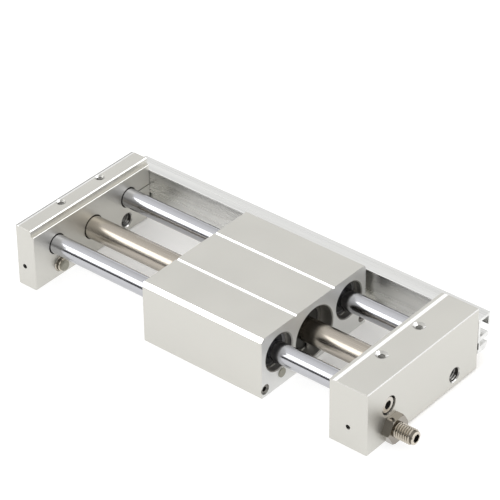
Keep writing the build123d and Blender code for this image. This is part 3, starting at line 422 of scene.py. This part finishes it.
def brushed(name, color, roughness, width, length, spread, highlight_edge=None):
    """Drawn or brushed metal with lines along X. A painted highlight line along an edge is given by its Y and
    its lowest height.
    """
    made = Finish(name, color, METAL, roughness)
    lines = made.effect(drawn_lines, Line_width=width, Line_length=length)
    made.tone(lines["Streaks"], spread)
    made.shine(lines["Lines"], spread=0.06)
    if highlight_edge:
        y, above = highlight_edge
        # Painted highlight line along the rail's inner top edge.
        edge = made.effect(long_line, Line_Y=y, Half_width=RAIL_HIGHLIGHT_WIDTH / 2, Above=above)
        made.where(edge["Line"], PAINTED_HIGHLIGHT_COLOR, CUT_ROUGHNESS)
    made.relief(lines["Lines"], height=0.00002, strength=0.3)
    finishes[name] = made.material


def turned(name, color, roughness, spread=0.05, socket=None, bright_tips=False):
    """Turned metal. A socket, given by its centre and radius, gets painted shade, and a bolt's tips are
    bright plated metal.
    """
    made = Finish(name, color, METAL, roughness)
    grain = made.effect(fine_grain, Grain_size=0.0003, Patch_size=0.004)
    made.tone(grain["Patches"], spread)
    made.shine(grain["Grain"], spread=0.05)
    if bright_tips:
        made.where(made.effect(end_faces, Square=0.3)["End"], BOLT_TIP_COLOR, BOLT_TIP_ROUGHNESS)
    # Painted shade inside the screw's socket.
    if socket:
        y, z, radius = socket
        inside = made.effect(round_bore, Centre_Y=y, Centre_Z=z, Radius=radius)["Inside"]
        made.where(inside, BORE_PAINTED_SHADE, BORE_ROUGHNESS)
    made.relief(grain["Grain"], height=0.00001, strength=0.25)
    finishes[name] = made.material


def moulded(name, color, roughness):
    """Moulded resin or rubber."""
    made = Finish(name, color, NOT_METAL, roughness)
    grain = made.effect(fine_grain, Grain_size=0.0005, Patch_size=0.006)
    made.tone(grain["Patches"], spread=0.15)
    made.shine(grain["Grain"], spread=0.06)
    made.relief(grain["Grain"], height=0.00004, strength=0.4)
    finishes[name] = made.material


def rail_highlight_edge():
    """Y of the rail's inner top edge, and the lowest height of its painted highlight line."""
    rail = nodes["sensor_rail"]
    corners = [rail.matrix_world @ corner.co for corner in rail.data.vertices]
    edge_y = min(corner.y for corner in corners if corner.z > rail_top - TOP_TOLERANCE)
    return edge_y, rail_top - HIGHLIGHT_DEPTH


anodised("anodised_aluminium")
brushed(
    "rail_aluminium", (0.77, 0.77, 0.755), 0.30, width=0.0006, length=0.06, spread=0.22,
    highlight_edge=rail_highlight_edge(),
)
# Plain aluminium parts inside the block are painted dark as the shade there.
turned("plain_aluminium", (0.13, 0.13, 0.125), 0.40)
brushed("stainless_tube", (0.41, 0.375, 0.325), 0.23, width=0.0002, length=0.04, spread=0.05)
# Thread ridges inside holes, painted darker than the plates' aluminium as the holes' shade.
turned("thread_aluminium", (0.36, 0.355, 0.34), 0.36)
turned("chromed_rod", (0.475, 0.478, 0.50), 0.16, spread=0.02)
turned("plated_bolt", (0.50, 0.455, 0.385), 0.22, spread=0.06)
# The rod screws' sockets get painted shade.
turned("plated_screw", (0.58, 0.55, 0.50), 0.22, socket=(*middle_of("guide_rod_near"), ROD_SCREW_SOCKET))
turned("nut_steel", (0.33, 0.305, 0.27), 0.14, spread=0.04)
# Painted shade: the bolt core between the thread's ridges is dark as the shade in the thread's roots.
turned("bolt_root_painted_shade", (0.15, 0.135, 0.11), 0.38, bright_tips=True)
turned("dark_screw", (0.20, 0.19, 0.175), 0.34)
# Bearing steel is painted dark as the shade inside the bores.
turned("bearing_steel", (0.22, 0.22, 0.23), 0.30)
turned("spring_steel", (0.42, 0.41, 0.39), 0.20)
turned("yoke_steel", (0.45, 0.45, 0.45), 0.30)
turned("magnet", (0.60, 0.60, 0.61), 0.25)
moulded("dark_resin", (0.030, 0.030, 0.034), 0.5)
moulded("wear_resin", (0.10, 0.08, 0.055), 0.5)
moulded("black_rubber", (0.018, 0.018, 0.020), 0.6)
moulded("stop_rubber", (0.29, 0.28, 0.225), 0.4)

# The slide block has sawn ends painted lighter, painted shade in its bores and two painted highlight lines
# along its top
BORE_MOUTH = 0.0006
BLOCK_HIGHLIGHT_OFFSET = 0.014
anodised(
    "block_aluminium", sawn_ends_painted_light=True, bore_shade=BLOCK_BORE_PAINTED_SHADE,
    highlight_lines=[
        (block_axis + side * BLOCK_HIGHLIGHT_OFFSET, block_high.z - HIGHLIGHT_DEPTH) for side in (-1, 1)
    ],
    bores=[
        (*middle_of(name), half_height(name) + BORE_MOUTH, EVERYWHERE)
        for name in ("bushing_near_left", "bushing_far_left", "magnet_sleeve")
    ],
)

# The end plates have a ring of painted shade round each rod and the tube on their inner faces, and painted
# shade in the spare hole
SEAT_RING = 0.00055
SEAT_REACH = 0.0965
SPARE_HOLE_RADIUS = 0.0035
SPARE_HOLE_MOUTH = 0.0001
LEFT_HIGHLIGHT_INSET = 0.0017
LEFT_HIGHLIGHT_DEPTH = 0.0002
plate_bores = [
    (*middle_of(name), half_height(name) + SEAT_RING, SEAT_REACH)
    for name in ("guide_rod_near", "guide_rod_far", "cylinder_tube")
]
plate_bores.append((*spare_hole, SPARE_HOLE_RADIUS + SPARE_HOLE_MOUTH, EVERYWHERE))
anodised(
    "left_plate_aluminium", tilt=0.90, side_limit=0.3, bores=plate_bores,
    highlight_edges=[(left_low.x + LEFT_HIGHLIGHT_INSET, left_high.z - LEFT_HIGHLIGHT_DEPTH)],
)
anodised("right_plate_aluminium", side_limit=0.3, bores=plate_bores)

own_finish = {
    "slide_block": "block_aluminium",
    "end_plate_left": "left_plate_aluminium",
    "end_plate_right": "right_plate_aluminium",
    "lock_nut_left": "nut_steel",
    "lock_nut_right": "nut_steel",
}
slot_of = {part["node"]: part["material_slot"] for part in frame["record"]["subparts"]}
for name, node in nodes.items():
    node.data.materials.clear()
    node.data.materials.append(finishes[own_finish.get(name, slot_of[name])])


# Pieces that the solids leave out

BOLT_PITCH = 0.00125
BOLT_THREAD_DEPTH = 0.00062
BOLT_RIDGE_SHARE = 0.80
BOLT_SOCKET = 0.004
BOLT_SOCKET_DEPTH = 0.005
BOLT_CHAMFER = 0.0005
BOLT_THREAD_RUN_OUT = 0.0014
RIDGE_SINK = 0.00004
RIDGE_CREST_ROOM = 0.00002
SPARE_THREAD_INSET = 0.0016
SPARE_THREAD_HEIGHT = 0.00028
HOLE_RIDGE_SHARE = 0.92
MOUNT_ROOT = 0.00169
MOUNT_CREST = 0.00148
MOUNT_PITCH = 0.0007
PLATE_COUNTERSINK = 0.0013
PLATE_THREAD_DEPTH = 0.0105
LEFT_HOLE_INSET = 0.0076
RIGHT_HOLE_INSET = 0.0079
PLATE_HOLE_SPREAD = 0.014
LOAD_THREAD_INSET = 0.0004
LOAD_THREAD_LENGTH = 0.0050
LOAD_HOLE_SPREAD_X = 0.020
LOAD_HOLE_SPREAD_Y = 0.025
TRIANGLE = 3
STEPS_PER_TURN = 36


def nothing_selected():
    """Leaves edit mode with nothing selected."""
    if bpy.context.mode != "OBJECT":
        bpy.ops.object.mode_set(mode="OBJECT")
    bpy.ops.object.select_all(action="DESELECT")


def select_only(piece):
    """Makes one object the only one that the next operator acts on."""
    nothing_selected()
    piece.select_set(True)
    bpy.context.view_layer.objects.active = piece


def place_into_mesh(piece):
    """Moves an object's place, turn and scale into its mesh."""
    select_only(piece)
    bpy.ops.object.transform_apply(location=True, rotation=True, scale=True)


def settle(piece, name, body, finish):
    """Puts a finished piece at the origin and on its body, with its finish."""
    place_into_mesh(piece)
    bpy.ops.object.shade_smooth_by_angle(angle=math.radians(35))
    piece.name = name
    piece.data.name = name
    piece.data.materials.clear()
    piece.data.materials.append(finishes[finish])
    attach(piece, body)


def wound_ridge(root, crest, pitch, share, length):
    """A helical ridge along X from the origin: a triangle on edge, carried round and along by a screw.
    Share is the part of the pitch that the ridge covers."""
    nothing_selected()
    half_width = share * pitch / 2
    bpy.ops.mesh.primitive_circle_add(
        vertices=TRIANGLE, radius=half_width, fill_type="NOTHING", location=(0, 0, 0)
    )
    ridge = bpy.context.active_object
    corners = ridge.data.vertices
    corners[0].co = (-half_width, 0, root)
    corners[1].co = (0, 0, crest)
    corners[2].co = (half_width, 0, root)
    turns = length / pitch
    wind = ridge.modifiers.new("wind", "SCREW")
    wind.axis = "X"
    wind.angle = 2 * math.pi * turns
    wind.screw_offset = length
    wind.iterations = 1
    wind.steps = wind.render_steps = int(turns * STEPS_PER_TURN)
    wind.use_smooth_shade = False
    bpy.ops.object.modifier_apply(modifier="wind")
    bpy.ops.object.mode_set(mode="EDIT")
    bpy.ops.mesh.select_all(action="SELECT")
    bpy.ops.mesh.fill_holes(sides=TRIANGLE)
    bpy.ops.mesh.remove_doubles(threshold=0.000001)
    bpy.ops.mesh.normals_make_consistent(inside=False)
    bpy.ops.object.mode_set(mode="OBJECT")
    return ridge


def stand_up(piece):
    """Turns a piece that lies along X so that it stands along Z."""
    bpy.ops.transform.rotate(value=math.pi / 2, orient_axis="Y", center_override=(0, 0, 0))
    place_into_mesh(piece)


def upright_hole_thread(name, body, centre_x, centre_y, start, length):
    """Thread of a mounting hole, which stands along Z."""
    ridge = wound_ridge(MOUNT_ROOT, MOUNT_CREST, MOUNT_PITCH, HOLE_RIDGE_SHARE, length)
    stand_up(ridge)
    lowest = min(corner.co.z for corner in ridge.data.vertices)
    ridge.location = (centre_x, centre_y, start - lowest)
    settle(ridge, name, body, "thread_aluminium")


def lie_along_x():
    """Turns the active primitive, which stands along Z, so that it lies along X where it is."""
    piece = bpy.context.active_object
    bpy.ops.transform.rotate(value=math.pi / 2, orient_axis="Y", center_override=piece.location)
    bpy.ops.object.transform_apply(location=True, rotation=True, scale=True)
    return piece


def bolt_core(node, mouth, radius):
    """The bar inside a bolt's thread, with a hexagon socket at its mouth."""
    low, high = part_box(node)
    centre = middle_of(node)
    nothing_selected()
    bpy.ops.mesh.primitive_cylinder_add(
        vertices=64, radius=radius, depth=high.x - low.x, location=((low.x + high.x) / 2, *centre)
    )
    core = lie_along_x()
    edge = core.modifiers.new("chamfer", "BEVEL")
    edge.width = BOLT_CHAMFER
    edge.segments = 2
    edge.limit_method = "ANGLE"
    edge.angle_limit = math.radians(40)
    bpy.ops.object.modifier_apply(modifier="chamfer")
    nothing_selected()
    bpy.ops.mesh.primitive_cylinder_add(
        vertices=6, radius=BOLT_SOCKET / 3**0.5, depth=2 * BOLT_SOCKET_DEPTH, location=(mouth, *centre)
    )
    hexagon = lie_along_x()
    select_only(core)
    socket = core.modifiers.new("socket", "BOOLEAN")
    socket.operation = "DIFFERENCE"
    socket.solver = "EXACT"
    socket.object = hexagon
    bpy.ops.object.modifier_apply(modifier="socket")
    bpy.data.objects.remove(hexagon, do_unlink=True)
    return core


def finish_adjust_bolt(node):
    """A threaded bolt in place of the plain one, with its socket at the end away from the part's middle."""
    body = node + "_body"
    low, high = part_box(node)
    mouth = max(low.x, high.x, key=abs)
    crest = half_height(node)
    root = crest - BOLT_THREAD_DEPTH
    core = bolt_core(node, mouth, root)
    # The core between the ridges carries the painted shade of the thread's roots.
    settle(core, node + "_core", body, "bolt_root_painted_shade")
    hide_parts(node)
    length = high.x - low.x - 2 * BOLT_THREAD_RUN_OUT
    ridge = wound_ridge(root - RIDGE_SINK, crest - RIDGE_CREST_ROOM, BOLT_PITCH, BOLT_RIDGE_SHARE, length)
    ridge.location = (low.x + BOLT_THREAD_RUN_OUT, *middle_of(node))
    settle(ridge, node + "_thread", body, "plated_bolt")


def finish_spare_hole(side, plate_low, plate_high):
    """Thread of the second stop position, which is left open."""
    length = plate_high.x - plate_low.x - 2 * SPARE_THREAD_INSET
    ridge = wound_ridge(
        SPARE_HOLE_RADIUS + RIDGE_SINK, SPARE_HOLE_RADIUS - SPARE_THREAD_HEIGHT, BOLT_PITCH,
        HOLE_RIDGE_SHARE, length,
    )
    ridge.location = (plate_low.x + SPARE_THREAD_INSET, *spare_hole)
    settle(ridge, "spare_thread_" + side, "frame", "thread_aluminium")


finish_adjust_bolt("adjust_bolt_right")
finish_adjust_bolt("adjust_bolt_left")
finish_spare_hole("left", left_low, left_high)
finish_spare_hole("right", right_low, right_high)

plate_thread_bottom = left_high.z - PLATE_COUNTERSINK - PLATE_THREAD_DEPTH
for side, hole_x in (("left", left_high.x - LEFT_HOLE_INSET), ("right", right_low.x + RIGHT_HOLE_INSET)):
    for row, sign in (("near", -1), ("far", 1)):
        upright_hole_thread(
            f"plate_thread_{side}_{row}", "frame", hole_x, axis_y + sign * PLATE_HOLE_SPREAD,
            plate_thread_bottom, PLATE_THREAD_DEPTH - MOUNT_PITCH,
        )
for side, along in (("left", -1), ("right", 1)):
    for row, across in (("near", -1), ("far", 1)):
        upright_hole_thread(
            f"load_thread_{side}_{row}", "carriage", block_middle + along * LOAD_HOLE_SPREAD_X,
            axis_y + across * LOAD_HOLE_SPREAD_Y, block_low.z + LOAD_THREAD_INSET, LOAD_THREAD_LENGTH,
        )


# Floor, lights and camera

FLOOR_SIZE = 8.0
FLOOR_GAP = 0.00015
# Painted glow of the floor round the part, which washes out its shadows there; the floor outside also
# reflects little.
FLOOR_PAINTED_GLOW = 0.69
FLOOR_INNER_GLOW = 0.11
FLOOR_INSIDE = (0.93, 0.92, 0.90)
FLOOR_OUTSIDE = (0.30, 0.30, 0.30)
FRONT_SKY = ((0.0, 0.015), (0.19, 0.02), (0.28, 0.60), (0.45, 0.97), (1.0, 1.3))
BACK_SKY = ((0.0, 0.06), (0.09, 0.12), (0.16, 1.15), (0.27, 1.35), (0.42, 0.76), (1.0, 1.25))
FRONT_SKY_END = -0.25
BACK_SKY_START = 0.15
SOFTBOX_DISTANCE = 3.2
CAMERA_AZIMUTH = math.radians(40.00)
CAMERA_ELEVATION = math.radians(34.74)
CAMERA_ROLL = math.radians(0.61)
CAMERA_AIM = Vector((-0.00675, -0.0046, 0.0175))
CAMERA_RIGHT = 0.00888
CAMERA_UP = 0.01883
CAMERA_DISTANCE = 1.26855
CAMERA_LENS = 192.62
CAMERA_SENSOR = 36.0
CAMERA_REACH = 20.0


def finish_floor():
    """A white floor with a painted glow round the part, which washes out the part's shadows there, and a
    faint even glow with real shade in the frame's opening.
    """
    nothing_selected()
    bpy.ops.mesh.primitive_plane_add(size=FLOOR_SIZE, location=(0, 0, cad_box[0][2] - FLOOR_GAP))
    floor = bpy.context.active_object
    floor.name = "floor"
    sheet = Finish("pale_floor", FLOOR_INSIDE, NOT_METAL, roughness=0.6, specular=0.2)
    zones = sheet.effect(floor_zones)
    sheet.where(zones["Open"], FLOOR_OUTSIDE)
    near_open = calculate(sheet.tree, "MULTIPLY", zones["Open"], zones["Near"])
    glow = calculate(sheet.tree, "MULTIPLY_ADD", near_open, FLOOR_PAINTED_GLOW, FLOOR_INNER_GLOW)
    sheet.shader.inputs["Emission Color"].default_value = (1.0, 1.0, 1.0, 1.0)
    join(sheet.tree, glow, sheet.shader.inputs["Emission Strength"])
    floor.data.materials.append(sheet.material)


def sky_ramp(tree, height, steps):
    """Grey that changes with height above the horizon, by steps of height and brightness."""
    rise = tree.nodes.new("ShaderNodeValToRGB")
    join(tree, height, rise.inputs[0])
    stops = rise.color_ramp.elements
    for stop, (position, value) in zip(stops, (steps[0], steps[-1])):
        stop.position = position
        stop.color = (value, value, value, 1.0)
    for position, value in steps[1:-1]:
        stops.new(position).color = (value, value, value, 1.0)
    return rise.outputs["Color"]


def finish_sky():
    """A studio that is dark at the horizon and bright above, with its own rise in front and behind."""
    world = bpy.data.worlds.new("studio")
    bpy.context.scene.world = world
    world.use_nodes = True
    tree = world.node_tree
    direction = axes_of(tree, "ShaderNodeTexCoord", "Generated")
    backward = tree.nodes.new("ShaderNodeMapRange")
    backward.inputs["From Min"].default_value = FRONT_SKY_END
    backward.inputs["From Max"].default_value = BACK_SKY_START
    join(tree, direction["Y"], backward.inputs["Value"])
    blend = tree.nodes.new("ShaderNodeMix")
    blend.data_type = "RGBA"
    join(tree, backward.outputs["Result"], blend.inputs["Factor"])
    join(tree, sky_ramp(tree, direction["Z"], FRONT_SKY), blend.inputs["A"])
    join(tree, sky_ramp(tree, direction["Z"], BACK_SKY), blend.inputs["B"])
    backdrop = tree.nodes["Background"]
    join(tree, blend.outputs["Result"], backdrop.inputs["Color"])
    backdrop.inputs["Strength"].default_value = 1.0


def softbox(name, direction, size, radiance):
    """A square soft light that looks at the middle of the part."""
    light = bpy.data.lights.new(name, "AREA")
    light.shape = "SQUARE"
    light.size = size
    light.energy = radiance * math.pi * size * size
    lamp = bpy.data.objects.new(name, light)
    bpy.context.scene.collection.objects.link(lamp)
    place = Vector(direction).normalized() * SOFTBOX_DISTANCE
    lamp.location = place
    lamp.rotation_euler = place.to_track_quat("Z", "Y").to_euler()


def set_camera():
    """The photo's point of view."""
    level = math.cos(CAMERA_ELEVATION)
    back = Vector((
        math.sin(CAMERA_AZIMUTH) * level, -math.cos(CAMERA_AZIMUTH) * level, math.sin(CAMERA_ELEVATION),
    ))
    level_right = Vector((math.cos(CAMERA_AZIMUTH), math.sin(CAMERA_AZIMUTH), 0))
    level_down = (-back).cross(level_right)
    right = math.cos(CAMERA_ROLL) * level_right + math.sin(CAMERA_ROLL) * level_down
    down = -math.sin(CAMERA_ROLL) * level_right + math.cos(CAMERA_ROLL) * level_down
    place = CAMERA_AIM + CAMERA_RIGHT * right - CAMERA_UP * down + CAMERA_DISTANCE * back
    turn = Matrix((right, -down, back)).transposed()
    view = bpy.data.cameras.new("view")
    view.lens = CAMERA_LENS
    view.sensor_width = CAMERA_SENSOR
    view.clip_end = CAMERA_REACH
    camera = bpy.data.objects.new("view", view)
    bpy.context.scene.collection.objects.link(camera)
    camera.matrix_world = Matrix.Translation(place) @ turn.to_4x4()
    bpy.context.scene.camera = camera


finish_floor()
finish_sky()
softbox("front_left_box", (-0.53, -0.60, 0.60), size=1.7, radiance=2.5)
softbox("right_back_box", (0.50, 0.40, 0.77), size=1.8, radiance=1.6)
softbox("left_box", (-0.90, 0.05, 0.42), size=1.4, radiance=1.5)
set_camera()
bpy.context.scene.view_settings.view_transform = "Standard"
